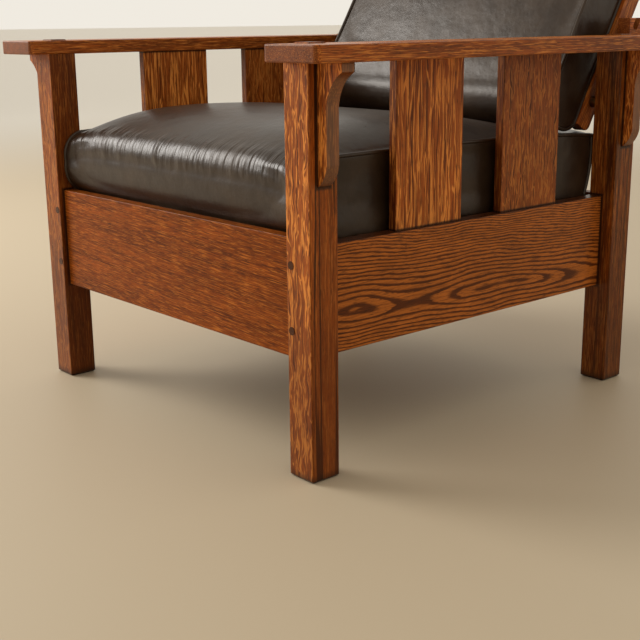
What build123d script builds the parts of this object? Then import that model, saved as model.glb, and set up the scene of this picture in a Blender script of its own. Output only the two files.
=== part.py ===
"""Oak reclining armchair with slatted sides, a hinged back on an adjusting rod, and loose leather cushions.

The frame stands on the floor at z = 0. +X is the sitter's left and -Y is the chair's front.
The origin is on the floor, at the middle of everything the chair covers.
"""

from build123d import *
import os
from math import cos, radians, sin

os.makedirs("parts", exist_ok=True)

# Overall sizes, over the outer faces of the four posts
chair_width = 742.0
chair_depth = 748.0

# Posts
post_side = 50.8
post_ease = 2.0  # rounding of the long edges
foot_chamfer = 3.5
arm_tenon_side = 30.0  # the post's tenon that comes through the arm
arm_tenon_proud = 2.0
arm_tenon_chamfer = 1.5

# Seat rails
rail_bottom = 176.3  # above the floor
side_rail_height = 160.5
front_rail_height = 173.0
side_rail_thickness = 25.0
cross_rail_thickness = 22.0
side_rail_setback = 25.0  # behind the posts' outer faces
cross_rail_setback = 10.0  # behind the posts' front and rear faces
board_ease = 1.2  # rounding of every board's long edges

# Tenons and mortises
rail_tenon_thickness = 10.0
rail_tenon_shoulder = 12.0  # above and below the tenon
cross_rail_tenon_length = 25.0
side_rail_tenon_length = 19.0
mortise_gap = 0.1

# Pegs through the tenons of the front and rear rails
peg_diameter = 12.0
peg_inset = 9.5  # from the post's inner edge
peg_below_rail_top = 36.3
peg_above_rail_bottom = 42.7
peg_depth = 29.0
peg_proud = 0.6
peg_gap = 0.05

# Side slats
slat_width = 143.0
slat_thickness = 15.0
slat_setback = 7.0  # behind the side rail's outer face
side_slat_count = 2
front_slat_gap_share = 0.398  # of the depth that the slats leave open, in front of the first
middle_slat_gap_share = 0.262  # and between one slat and the next
slat_tenon_thickness = 9.0
slat_tenon_length = 12.0
slat_tenon_shoulder = 8.0

# Arms
arm_top = 610.0
arm_thickness = 23.0
arm_width = 110.0
arm_front_overhang = 35.0
arm_rear_overhang = 117.0
arm_corner_radius = 9.0
arm_ease = 2.0

# Corbels under the arms
corbel_thickness = 22.0
corbel_length = 164.0
corbel_reach = 50.0  # at the arm
corbel_foot_reach = 19.0  # along the straight stem
corbel_nose_height = 30.0
corbel_nose_share = 0.62  # how full the rounded lower end is
corbel_lip_height = 12.0  # the upright edge just below the arm
corbel_hollow_height = 50.0  # of the curve that flares from the stem to the lip
corbel_ease = 1.5

# Ledgers that carry the seat frame
ledger_width = 22.0
ledger_height = 25.0
ledger_drop = 36.8  # its top, below the side rail's top
ledger_end_gap = 0.5  # to the posts
screw_count = 4
screw_shank_diameter = 4.4
screw_head_diameter = 8.6
screw_head_height = 2.6
screw_bite = 14.0  # how far a screw enters the second piece
screw_gap = 0.05
screw_end_inset = 70.0

# Loose seat frame with its webbing
seat_frame_gap = 1.2  # to the rails and the posts
seat_member_width = 46.0
seat_member_thickness = 22.0
seat_tenon_thickness = 9.0
seat_tenon_length = 20.0
seat_tenon_shoulder = 7.0
strap_width = 50.0
strap_thickness = 2.4
long_strap_count = 5
cross_strap_count = 6

# Soft goods
soft_gap = 0.3  # around the leather cushions
seat_side_gap = 4.2  # from the cushion to the posts' inner faces
seat_front_gap = 4.0  # from the cushion's base to the front rail
seat_lip_inset = 6.3  # the front roll, behind the front rail's face
seat_side_front_height = 127.0  # heights of the seat's side edge above its base
seat_side_middle_height = 130.5
seat_side_rear_height = 116.2
seat_roll_depth = 30.0
seat_roll_height = 50.0
seat_rear_overlap = 3.0  # past the rear posts' front faces
seat_rear_taper = 13.0  # how far the rear face draws in at the base
seat_rear_knee_height = 16.0
seat_crown = 50.0
seat_crown_power = 8  # the higher, the flatter the middle and the steeper the sides
seat_top_depth_shares = (0.0, 0.09, 0.25, 0.55, 0.85, 1.0)  # from the front roll to the rear edge
seat_top_crown_shares = (0.34, 0.80, 1.0, 0.86, 0.22, 0.12)  # how much of the crown is there
seat_draw_in = 4.0
seat_section_shares = (-1.0, -0.92, -0.75, 0.0, 0.75, 0.92, 1.0)  # across the cushion

# Hinged back, in its own frame: the hinge line is its origin
back_lean = 31.0  # degrees behind upright, with the rod in the rear notch
hinge_rise = 56.0  # the hinge line, above the seat's rear edge
hinge_inset = 14.8  # behind the rear post's front face
hinge_side_gap = 14.2  # from a stile to its post
stile_width = 22.0
stile_depth = 36.0
stile_above_hinge = 622.0
stile_below_hinge = 52.0
stile_heel_radius = 13.0
stile_crown_radius = 10.0
back_rail_height = 56.0
back_rail_thickness = 18.0
back_rail_top_margin = 9.0  # from a stile's upper end
back_rail_hinge_margin = 6.0  # above the heads of the hinge bolts
back_slat_count = 4
back_slat_height = 62.0
back_slat_thickness = 12.0
back_tenon_thickness = 8.0
back_tenon_length = 14.0
back_tenon_shoulder = 6.0

# Hinge hardware
hinge_bolt_diameter = 9.5
hinge_head_diameter = 18.0
hinge_head_height = 5.0
hinge_bolt_bite = 28.0  # how far a bolt enters the rear post
hinge_running_gap = 0.05
hinge_play = 0.3  # along the bolt, on each side of a stile
spacer_diameter = 20.0

# Adjusting rod and the notched racks it rests in
rod_diameter = 12.7
rod_gap = 0.15
rod_overhang = 12.0  # past the racks
rod_end_round = 2.0
rack_width = 24.0
rack_inset = 6.0  # from the arm's inner edge
rack_floor = 8.0  # wood below a notch
notch_depth = 20.3  # from the rack's top to the notch's lowest point
notch_count = 3
notch_pitch = 27.0
rack_front_wood = 17.0  # in front of the first notch's axis
rack_rear_wood = 30.0
rack_ease = 1.5
rack_screw_bite = 6.0  # into the rack, below the notches

# Back cushion, as distances along and in front of the stiles
back_cushion_below_hinge = 45.0
back_cushion_above_hinge = 606.0
back_cushion_thickness = 82.0
back_cushion_bottom_drop = 8.0  # the bottom edge's front, lower than its rear
back_cushion_roll = 24.0
back_cushion_edge_crown = 8.0  # how far the front bulges along the sides
back_cushion_crown = 18.0  # and how much more it bulges in the middle
back_cushion_side_gap = 5.0  # in from the stiles' outer faces
back_cushion_draw_in = 6.0
back_cushion_end_crown_share = 0.35
back_section_shares = (-1.0, -0.62, 0.0, 0.62, 1.0)

# Places that follow from the sizes above
half_width = chair_width / 2
post_inner_x = half_width - post_side
arm_bottom = arm_top - arm_thickness
side_rail_top = rail_bottom + side_rail_height
front_rail_top = rail_bottom + front_rail_height
side_rail_x = half_width - side_rail_setback - side_rail_thickness / 2
side_rail_inner_x = side_rail_x - side_rail_thickness / 2
ledger_top = side_rail_top - ledger_drop
deck_height = ledger_top + seat_member_thickness + strap_thickness
seat_base = deck_height + soft_gap
seat_half = post_inner_x - seat_side_gap
hinge_height = seat_base + seat_side_rear_height + hinge_rise
hinge_depth = chair_depth - post_side + hinge_inset  # behind the front posts' faces
stile_outer_x = post_inner_x - hinge_side_gap
stile_inner_x = stile_outer_x - stile_width
lean = radians(back_lean)
back_reach = hinge_depth + stile_above_hinge * sin(lean) + stile_depth / 2 * cos(lean)
front_y = -(back_reach - arm_front_overhang) / 2  # the front faces of the front posts
rod_radius = rod_diameter / 2
rod_height = arm_top + rack_floor + rod_radius + rod_gap
rod_behind_hinge = (stile_depth / 2 + rod_radius + rod_gap) / cos(lean) + (
    rod_height - hinge_height
) * sin(lean) / cos(lean)

nodes = {}


def depth_y(distance):
    """The y of a place that lies this far behind the front posts' front faces."""
    return front_y + distance


def eased_board(length, thickness, height, ease):
    """A board along X with its four long edges rounded."""
    board = Box(length, thickness, height)
    return fillet(board.edges().filter_by(Axis.X), ease)


def tenoned_board(span, thickness, height, tenon_length, tenon_thickness, shoulder, ease=board_ease):
    """A board along X between two shoulders, with a tenon on each end."""
    tenon = Box(span + 2 * tenon_length, tenon_thickness, height - 2 * shoulder)
    return eased_board(span, thickness, height, ease) + tenon


def mortise_cutter(span, height, tenon_length, tenon_thickness, shoulder):
    """The space that the tenons of such a board need."""
    return Box(
        span + 2 * (tenon_length + mortise_gap),
        tenon_thickness + 2 * mortise_gap,
        height - 2 * shoulder + 2 * mortise_gap,
    )


def cylinder_x(radius, x_start, x_end, y, z):
    """A cylinder along X between two places."""
    length = x_end - x_start
    return Pos((x_start + x_end) / 2, y, z) * Rot(0, 90, 0) * Cylinder(radius, length)


def cylinder_y(radius, y_start, y_end, x, z):
    """A cylinder along Y between two places."""
    length = y_end - y_start
    return Pos(x, (y_start + y_end) / 2, z) * Rot(90, 0, 0) * Cylinder(radius, length)


def side_name(side):
    return "left" if side > 0 else "right"


# Rails: spans, places and cutters

cross_span = chair_width - 2 * post_side
side_span = chair_depth - 2 * post_side
cross_rail_sizes = (cross_rail_tenon_length, rail_tenon_thickness, rail_tenon_shoulder)
side_rail_sizes = (side_rail_tenon_length, rail_tenon_thickness, rail_tenon_shoulder)
front_rail_y = depth_y(cross_rail_setback + cross_rail_thickness / 2)
rear_rail_y = depth_y(chair_depth - cross_rail_setback - cross_rail_thickness / 2)
front_rail_place = Pos(0, front_rail_y, rail_bottom + front_rail_height / 2)
rear_rail_place = Pos(0, rear_rail_y, rail_bottom + side_rail_height / 2)
middle_y = depth_y(chair_depth / 2)


def side_rail_place(side):
    return Pos(side * side_rail_x, middle_y, rail_bottom + side_rail_height / 2) * Rot(0, 0, 90)


def rail_cutters():
    """Every mortise that the rails need in the posts."""
    cutters = [
        front_rail_place * mortise_cutter(cross_span, front_rail_height, *cross_rail_sizes),
        rear_rail_place * mortise_cutter(cross_span, side_rail_height, *cross_rail_sizes),
    ]
    for side in (1, -1):
        cutter = mortise_cutter(side_span, side_rail_height, *side_rail_sizes)
        cutters.append(side_rail_place(side) * cutter)
    return cutters


def peg_solids(radius, face_distance, inward, rail_top, proud):
    """Four pegs driven into the front or rear faces of two posts."""
    outer = depth_y(face_distance) - inward * proud
    inner = depth_y(face_distance) + inward * peg_depth
    pegs = []
    for side in (1, -1):
        x = side * (post_inner_x + peg_inset)
        for z in (rail_top - peg_below_rail_top, rail_bottom + peg_above_rail_bottom):
            pegs.append(cylinder_y(radius, min(outer, inner), max(outer, inner), x, z))
    return pegs


def peg_holes():
    radius = peg_diameter / 2 + peg_gap
    front = peg_solids(radius, 0, 1, front_rail_top, peg_proud)
    rear = peg_solids(radius, chair_depth, -1, side_rail_top, peg_proud)
    return front + rear


def hinge_bore(side, radius, x_start, x_end):
    """A bore or bar on the hinge line, from one x to another on this side."""
    ends = sorted((side * x_start, side * x_end))
    return cylinder_x(radius, ends[0], ends[1], depth_y(hinge_depth), hinge_height)


# Frame pieces


def post(side, front):
    """One leg, from the floor to the tenon that shows on top of the arm."""
    x = side * (half_width - post_side / 2)
    y = depth_y(post_side / 2 if front else chair_depth - post_side / 2)
    leg = Box(post_side, post_side, arm_bottom, align=(Align.CENTER, Align.CENTER, Align.MIN))
    leg = chamfer(leg.faces().sort_by(Axis.Z)[0].edges(), foot_chamfer)
    leg = fillet(leg.edges().filter_by(Axis.Z), post_ease)
    tenon_height = arm_thickness + arm_tenon_proud
    tenon = Box(
        arm_tenon_side,
        arm_tenon_side,
        tenon_height,
        align=(Align.CENTER, Align.CENTER, Align.MIN),
    )
    tenon = chamfer(tenon.faces().sort_by(Axis.Z)[-1].edges(), arm_tenon_chamfer)
    leg = Pos(x, y, 0) * (leg + Pos(0, 0, arm_bottom) * tenon)
    for cutter in rail_cutters() + peg_holes():
        leg -= cutter
    if not front:
        reach = post_inner_x + hinge_bolt_bite + hinge_running_gap
        leg -= hinge_bore(side, hinge_bolt_diameter / 2 + hinge_running_gap, stile_outer_x, reach)
    return leg


def cross_rail(place, height):
    """The front or the rear rail, with its peg holes."""
    rail = place * tenoned_board(cross_span, cross_rail_thickness, height, *cross_rail_sizes)
    for hole in peg_holes():
        rail -= hole
    return rail


def slat_depths():
    """How far each side slat's middle lies behind the front posts' faces."""
    open_depth = chair_depth - 2 * post_side - side_slat_count * slat_width
    first = post_side + front_slat_gap_share * open_depth + slat_width / 2
    step = slat_width + middle_slat_gap_share * open_depth
    return [first + i * step for i in range(side_slat_count)]


slat_x = half_width - side_rail_setback - slat_setback - slat_thickness / 2
slat_span = arm_bottom - side_rail_top
slat_sizes = (slat_tenon_length, slat_tenon_thickness, slat_tenon_shoulder)


def slat_place(side, distance):
    middle_z = (arm_bottom + side_rail_top) / 2
    return Pos(side * slat_x, depth_y(distance), middle_z) * Rot(0, 0, 90) * Rot(0, 90, 0)


def slat_cutters(side):
    cutter = mortise_cutter(slat_span, slat_width, *slat_sizes)
    return [slat_place(side, distance) * cutter for distance in slat_depths()]


def side_slat(side, distance):
    return slat_place(side, distance) * tenoned_board(
        slat_span, slat_thickness, slat_width, *slat_sizes
    )


def ledger_screw_depths():
    """How far each ledger screw lies behind the front posts' faces."""
    first = post_side + screw_end_inset
    step = (chair_depth - 2 * first) / (screw_count - 1)
    return [first + i * step for i in range(screw_count)]


def ledger_screws(side, gap):
    """The screws that hold one ledger, or with a gap the holes they need."""
    screws = []
    face_x = side_rail_inner_x - ledger_width
    for distance in ledger_screw_depths():
        y = depth_y(distance)
        z = ledger_top - ledger_height / 2
        ends = sorted((side * face_x, side * (side_rail_inner_x + screw_bite + gap)))
        shank = cylinder_x(screw_shank_diameter / 2 + gap, ends[0], ends[1], y, z)
        ends = sorted((side * face_x, side * (face_x + screw_head_height + gap)))
        head = cylinder_x(screw_head_diameter / 2 + gap, ends[0], ends[1], y, z)
        screws.append(shank + head)
    return screws


def side_rail(side):
    rail = side_rail_place(side) * tenoned_board(
        side_span, side_rail_thickness, side_rail_height, *side_rail_sizes
    )
    for cutter in slat_cutters(side) + ledger_screws(side, screw_gap):
        rail -= cutter
    return rail


def ledger(side):
    """A strip screwed inside a side rail, on which the seat frame rests."""
    length = chair_depth - 2 * (post_side + ledger_end_gap)
    x = side * (side_rail_inner_x - ledger_width / 2)
    strip = Pos(x, middle_y, ledger_top - ledger_height / 2) * Box(ledger_width, length, ledger_height)
    for hole in ledger_screws(side, screw_gap):
        strip -= hole
    return strip


# Arms, corbels and racks

arm_inner_x = post_inner_x
arm_x = arm_inner_x + arm_width / 2
arm_front = -arm_front_overhang
arm_rear = chair_depth + arm_rear_overhang
rack_x = arm_inner_x + rack_inset + rack_width / 2
rod_depth = hinge_depth + rod_behind_hinge
notch_depths = [rod_depth - i * notch_pitch for i in range(notch_count)]
rack_front = notch_depths[-1] - rack_front_wood
rack_rear = rod_depth + rack_rear_wood
rack_height = rack_floor + notch_depth


def rack_screws(side, gap):
    """Screws up through the arm into a rack, or with a gap the holes they need."""
    screws = []
    for distance in (rack_front + rack_width / 2, rack_rear - rack_width / 2):
        place = Pos(side * rack_x, depth_y(distance), arm_bottom)
        shank = Cylinder(
            screw_shank_diameter / 2 + gap,
            arm_thickness + rack_screw_bite + gap,
            align=(Align.CENTER, Align.CENTER, Align.MIN),
        )
        head = Cylinder(
            screw_head_diameter / 2 + gap,
            screw_head_height + gap,
            align=(Align.CENTER, Align.CENTER, Align.MIN),
        )
        screws.append(place * (shank + head))
    return screws


def arm(side):
    """A flat arm with the through mortises of both posts."""
    length = arm_rear - arm_front
    board = Box(arm_width, length, arm_thickness)
    board = fillet(board.edges().filter_by(Axis.Z), arm_corner_radius)
    rims = board.faces().sort_by(Axis.Z)[-1].edges() + board.faces().sort_by(Axis.Z)[0].edges()
    board = fillet(rims, arm_ease)
    middle = depth_y((arm_front + arm_rear) / 2)
    board = Pos(side * arm_x, middle, arm_bottom + arm_thickness / 2) * board
    mortise_side = arm_tenon_side + 2 * mortise_gap
    mortise = Box(mortise_side, mortise_side, 2 * arm_thickness)
    x = side * (half_width - post_side / 2)
    for distance in (post_side / 2, chair_depth - post_side / 2):
        board -= Pos(x, depth_y(distance), arm_bottom + arm_thickness / 2) * mortise
    for cutter in slat_cutters(side) + rack_screws(side, screw_gap):
        board -= cutter
    return board


def corbel(side, distance):
    """A bracket on a post's outer face: a straight stem, flared below the arm and round at its foot."""
    top = (0, 0)
    reach = (corbel_reach, 0)
    lip = (corbel_reach, -corbel_lip_height)
    stem = (corbel_foot_reach, lip[1] - corbel_hollow_height)
    waist = (corbel_foot_reach, -corbel_length + corbel_nose_height)
    foot = (0, -corbel_length)
    nose_x = corbel_foot_reach * corbel_nose_share
    nose_z = waist[1] - corbel_nose_height * corbel_nose_share
    outline = Curve() + [
        Line(top, reach),
        Line(reach, lip),
        TangentArc(stem, lip, tangent=(0, 1)),
        Line(stem, waist),
        ThreePointArc(waist, (nose_x, nose_z), foot),
        Line(foot, top),
    ]
    body = extrude(Plane.XZ * make_face(outline), corbel_thickness / 2, both=True)
    body = fillet(body.edges().filter_by(Axis.Y).filter_by_position(Axis.X, lip[0], lip[0]), corbel_ease)
    if side < 0:
        body = mirror(body, Plane.YZ)
    return Pos(side * half_width, depth_y(distance), arm_bottom) * body


def rack(side):
    """A block on the arm with slanted notches, parallel to the leaning back."""
    length = rack_rear - rack_front
    middle = depth_y((rack_front + rack_rear) / 2)
    block = Box(rack_width, length, rack_height)
    block = fillet(block.faces().sort_by(Axis.Z)[-1].edges(), rack_ease)
    block = Pos(side * rack_x, middle, arm_top + rack_height / 2) * block
    notch_radius = rod_radius + rod_gap
    for distance in notch_depths:
        place = Pos(side * rack_x, depth_y(distance), rod_height) * Rot(-back_lean, 0, 0)
        bottom = Rot(0, 90, 0) * Cylinder(notch_radius, 2 * rack_width)
        slot = Box(
            2 * rack_width,
            2 * notch_radius,
            2 * notch_depth,
            align=(Align.CENTER, Align.CENTER, Align.MIN),
        )
        block -= place * (bottom + slot)
    for hole in rack_screws(side, screw_gap):
        block -= hole
    return block


def adjusting_rod():
    """The round bar behind the stiles, at rest in the rear notches."""
    reach = rack_x + rack_width / 2 + rod_overhang
    bar = Cylinder(rod_radius, 2 * reach)
    bar = fillet(bar.edges(), rod_end_round)
    return Pos(0, depth_y(rod_depth), rod_height) * Rot(0, 90, 0) * bar


# Seat frame and webbing

seat_outer_x = post_inner_x - seat_frame_gap
seat_front = cross_rail_setback + cross_rail_thickness + seat_frame_gap
seat_rear = chair_depth - seat_front
seat_middle_z = ledger_top + seat_member_thickness / 2
seat_cross_span = 2 * (seat_outer_x - seat_member_width)
seat_sizes = (seat_tenon_length, seat_tenon_thickness, seat_tenon_shoulder)


def seat_cross_place(front):
    edge = seat_member_width / 2
    y = depth_y(seat_front + edge if front else seat_rear - edge)
    return Pos(0, y, seat_middle_z) * Rot(90, 0, 0)


def seat_cross_member(front):
    return seat_cross_place(front) * tenoned_board(
        seat_cross_span, seat_member_thickness, seat_member_width, *seat_sizes
    )


def seat_side_member(side):
    length = seat_rear - seat_front
    member = Rot(0, 0, 90) * eased_board(length, seat_member_width, seat_member_thickness, board_ease)
    member = Pos(side * (seat_outer_x - seat_member_width / 2), middle_y, seat_middle_z) * member
    for front in (True, False):
        member -= seat_cross_place(front) * mortise_cutter(
            seat_cross_span, seat_member_width, *seat_sizes
        )
    return member


def webbing():
    """Straps both ways over the seat frame, sewn into one lattice."""
    across = 2 * seat_outer_x - seat_member_width
    along = seat_rear - seat_front - seat_member_width
    z = deck_height - strap_thickness / 2
    straps = []
    for i in range(long_strap_count):
        x = -across / 2 + strap_width + i * (across - 2 * strap_width) / (long_strap_count - 1)
        straps.append(Pos(x, middle_y, z) * Box(strap_width, along, strap_thickness))
    for i in range(cross_strap_count):
        step = (along - 2 * strap_width) / (cross_strap_count - 1)
        y = middle_y - along / 2 + strap_width + i * step
        straps.append(Pos(0, y, z) * Box(across, strap_width, strap_thickness))
    lattice = straps[0]
    for strap in straps[1:]:
        lattice += strap
    return lattice


# Cushions


def seat_edge_height(share):
    """The side edge's height at a share of its depth, on a parabola through its three heights."""
    front_part = seat_side_front_height * (1 - share) * (1 - 2 * share)
    middle_part = seat_side_middle_height * 4 * share * (1 - share)
    return front_part + middle_part + seat_side_rear_height * share * (2 * share - 1)


def seat_section(share):
    """The seat cushion's outline on an upright plane across it, higher towards the middle."""
    rise = seat_crown * (1 - abs(share) ** seat_crown_power)
    base_front = depth_y(cross_rail_setback + cross_rail_thickness + seat_front_gap)
    lip = depth_y(cross_rail_setback + seat_lip_inset)
    rear = depth_y(chair_depth - post_side + seat_rear_overlap)
    foot_rear = rear - seat_rear_taper
    under_lip = front_rail_top + soft_gap
    roll_back = lip + seat_roll_depth
    top = [
        (roll_back + depth * (rear - roll_back), seat_base + seat_edge_height(depth) + rise * crown)
        for depth, crown in zip(seat_top_depth_shares, seat_top_crown_shares)
    ]
    front_top = top[0][1]
    rear_edge = top[-1]
    roll_bottom = front_top - seat_roll_height
    round_share = 1 - cos(radians(45))
    base_corner = (base_front, seat_base)
    lip_corner = (base_front, under_lip)
    face = (lip, roll_bottom)
    knee = (foot_rear, seat_base + seat_rear_knee_height)
    belly = (lip + (base_front - lip) * round_share, under_lip + (roll_bottom - under_lip) * round_share)
    roll = (lip + seat_roll_depth * round_share, front_top - seat_roll_height * round_share)
    rear_belly = (rear - seat_rear_overlap * round_share, (rear_edge[1] + knee[1]) / 2)
    outline = Curve() + [
        Line(base_corner, lip_corner),
        ThreePointArc(lip_corner, belly, face),
        ThreePointArc(face, roll, top[0]),
        Spline(*top),
        ThreePointArc(rear_edge, rear_belly, knee),
        Line(knee, (foot_rear, seat_base)),
        Line((foot_rear, seat_base), base_corner),
    ]
    return Plane.YZ.offset(share * seat_half) * make_face(outline)


def drawn_in_block(half, draw_in, y_start, y_end, z_start, z_end):
    """A block whose two sides curve inwards between their ends."""
    middle = (y_start + y_end) / 2
    outline = Curve() + [
        Line((-half, y_start), (half, y_start)),
        ThreePointArc((half, y_start), (half - draw_in, middle), (half, y_end)),
        Line((half, y_end), (-half, y_end)),
        ThreePointArc((-half, y_end), (draw_in - half, middle), (-half, y_start)),
    ]
    return Pos(0, 0, z_start) * extrude(make_face(outline), z_end - z_start)


def seat_cushion():
    body = loft([seat_section(share) for share in seat_section_shares])
    top = seat_base + seat_side_middle_height + 2 * seat_crown
    return body & drawn_in_block(
        seat_half, seat_draw_in, depth_y(0), depth_y(chair_depth), seat_base, top
    )


def back_section(share):
    """The back cushion's outline beside an upright back, thicker towards its middle."""
    rise = back_cushion_edge_crown + back_cushion_crown * (1 - share * share)
    rear = -stile_depth / 2 - soft_gap
    front = rear - back_cushion_thickness
    low_rear = -back_cushion_below_hinge
    low_front = low_rear - back_cushion_bottom_drop
    high = back_cushion_above_hinge
    end_rise = rise * back_cushion_end_crown_share
    round_share = 1 - cos(radians(45))
    low_roll_start = (front + back_cushion_roll, low_front)
    low_roll_end = (front - end_rise, low_front + back_cushion_roll)
    high_roll_start = (front - end_rise, high - back_cushion_roll)
    high_roll_end = (front + back_cushion_roll, high)
    roll_y = front - end_rise + (back_cushion_roll + end_rise) * round_share
    low_roll = (roll_y, low_front + back_cushion_roll * round_share)
    high_roll = (roll_y, high - back_cushion_roll * round_share)
    crown = (front - rise, (high + low_front) / 2)
    outline = Curve() + [
        Line((rear, low_rear), low_roll_start),
        ThreePointArc(low_roll_start, low_roll, low_roll_end),
        ThreePointArc(low_roll_end, crown, high_roll_start),
        ThreePointArc(high_roll_start, high_roll, high_roll_end),
        Line(high_roll_end, (rear, high)),
        Line((rear, high), (rear, low_rear)),
    ]
    half = stile_outer_x - back_cushion_side_gap
    return Plane.YZ.offset(share * half) * make_face(outline)


def back_cushion():
    body = loft([back_section(share) for share in back_section_shares])
    half = stile_outer_x - back_cushion_side_gap
    low = -back_cushion_below_hinge - back_cushion_bottom_drop
    crown = back_cushion_edge_crown + back_cushion_crown
    deep = stile_depth + back_cushion_thickness + crown
    block = Rot(90, 0, 0) * drawn_in_block(
        half, back_cushion_draw_in, low, back_cushion_above_hinge, -stile_depth, deep
    )
    return body & block


# Back frame, built upright around the hinge line

back_place = Pos(0, depth_y(hinge_depth), hinge_height) * Rot(-back_lean, 0, 0)
back_span = 2 * stile_inner_x
back_sizes = (back_tenon_length, back_tenon_thickness, back_tenon_shoulder)
low_rail_z = hinge_head_diameter / 2 + back_rail_hinge_margin + back_rail_height / 2
high_rail_z = stile_above_hinge - back_rail_top_margin - back_rail_height / 2


def back_slat_heights():
    """The middles of the slats, evenly spaced between the two rails."""
    step = (high_rail_z - low_rail_z) / (back_slat_count + 1)
    return [low_rail_z + (i + 1) * step for i in range(back_slat_count)]


def back_board(z, height, thickness):
    return Pos(0, 0, z) * tenoned_board(back_span, thickness, height, *back_sizes)


def back_stile(side):
    """One upright of the back, with its hinge bore and its mortises."""
    length = stile_above_hinge + stile_below_hinge
    middle_z = (stile_above_hinge - stile_below_hinge) / 2
    middle_x = side * (stile_outer_x - stile_width / 2)
    stile = Pos(middle_x, 0, middle_z) * Box(stile_width, stile_depth, length)
    across = stile.edges().filter_by(Axis.X)
    heel = across.group_by(Axis.Z)[0].sort_by(Axis.Y)[-1]
    crown = across.group_by(Axis.Z)[-1]
    stile = fillet(heel, stile_heel_radius)
    stile = fillet(stile.edges().filter_by(Axis.X).group_by(Axis.Z)[-1], stile_crown_radius)
    stile = fillet(stile.edges().filter_by(Axis.Z), board_ease)
    for z in (low_rail_z, high_rail_z):
        stile -= Pos(0, 0, z) * mortise_cutter(back_span, back_rail_height, *back_sizes)
    for z in back_slat_heights():
        stile -= Pos(0, 0, z) * mortise_cutter(back_span, back_slat_height, *back_sizes)
    bore = hinge_bolt_diameter / 2 + hinge_running_gap
    ends = sorted((side * post_inner_x, side * (stile_inner_x - stile_width)))
    return stile - cylinder_x(bore, ends[0], ends[1], 0, 0)


def hinge_bolt(side):
    """A bolt through the stile into the rear post, with its round head inside the back."""
    head_face = stile_inner_x - hinge_play
    shank = hinge_bore(side, hinge_bolt_diameter / 2, head_face, post_inner_x + hinge_bolt_bite)
    head = hinge_bore(side, hinge_head_diameter / 2, head_face - hinge_head_height, head_face)
    return shank + head


def hinge_spacer(side):
    """The collar on the bolt that keeps the stile off the post."""
    collar = hinge_bore(side, spacer_diameter / 2, stile_outer_x + hinge_play, post_inner_x)
    bore = hinge_bolt_diameter / 2 + hinge_running_gap
    return collar - hinge_bore(side, bore, stile_inner_x, half_width)


def group(solids):
    """Several like pieces in one node."""
    return Compound(children=list(solids))


def make_frame():
    for side in (1, -1):
        name = side_name(side)
        nodes[f"front_post_{name}"] = post(side, True)
        nodes[f"rear_post_{name}"] = post(side, False)
        nodes[f"side_rail_{name}"] = side_rail(side)
        nodes[f"arm_{name}"] = arm(side)
        nodes[f"corbel_front_{name}"] = corbel(side, post_side / 2)
        nodes[f"corbel_rear_{name}"] = corbel(side, chair_depth - post_side / 2)
        nodes[f"ledger_{name}"] = ledger(side)
        nodes[f"rack_{name}"] = rack(side)
        for place, distance in zip(("front", "rear"), slat_depths()):
            nodes[f"side_slat_{place}_{name}"] = side_slat(side, distance)
    nodes["front_rail"] = cross_rail(front_rail_place, front_rail_height)
    nodes["rear_rail"] = cross_rail(rear_rail_place, side_rail_height)
    front_pegs = peg_solids(peg_diameter / 2, 0, 1, front_rail_top, peg_proud)
    rear_pegs = peg_solids(peg_diameter / 2, chair_depth, -1, side_rail_top, peg_proud)
    nodes["front_pegs"] = group(front_pegs)
    nodes["rear_pegs"] = group(rear_pegs)
    nodes["ledger_screws"] = group(ledger_screws(1, 0) + ledger_screws(-1, 0))
    nodes["rack_screws"] = group(rack_screws(1, 0) + rack_screws(-1, 0))


def make_seat():
    nodes["seat_member_front"] = seat_cross_member(True)
    nodes["seat_member_rear"] = seat_cross_member(False)
    for side in (1, -1):
        nodes[f"seat_member_{side_name(side)}"] = seat_side_member(side)
    nodes["seat_webbing"] = webbing()
    nodes["seat_cushion"] = seat_cushion()


def make_back():
    for side in (1, -1):
        name = side_name(side)
        nodes[f"back_stile_{name}"] = back_place * back_stile(side)
        nodes[f"hinge_bolt_{name}"] = hinge_bolt(side)
        nodes[f"hinge_spacer_{name}"] = hinge_spacer(side)
    nodes["back_rail_bottom"] = back_place * back_board(
        low_rail_z, back_rail_height, back_rail_thickness
    )
    nodes["back_rail_top"] = back_place * back_board(
        high_rail_z, back_rail_height, back_rail_thickness
    )
    for number, z in enumerate(back_slat_heights(), 1):
        nodes[f"back_slat_{number}"] = back_place * back_board(
            z, back_slat_height, back_slat_thickness
        )
    nodes["back_cushion"] = back_place * back_cushion()
    nodes["adjusting_rod"] = adjusting_rod()


make_frame()
make_seat()
make_back()
for node_name, shape in nodes.items():
    export_step(shape, f"parts/{node_name}.step")
print(f"{len(nodes)} nodes, front posts' faces at y = {front_y:.3f}")
print(f"hinge line at y = {depth_y(hinge_depth):.3f}, z = {hinge_height:.3f}")
print(f"rod at y = {depth_y(rod_depth):.3f}, z = {rod_height:.3f}")
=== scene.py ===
import math

import bpy
import numpy as np
from mathutils import Matrix, Vector


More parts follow.
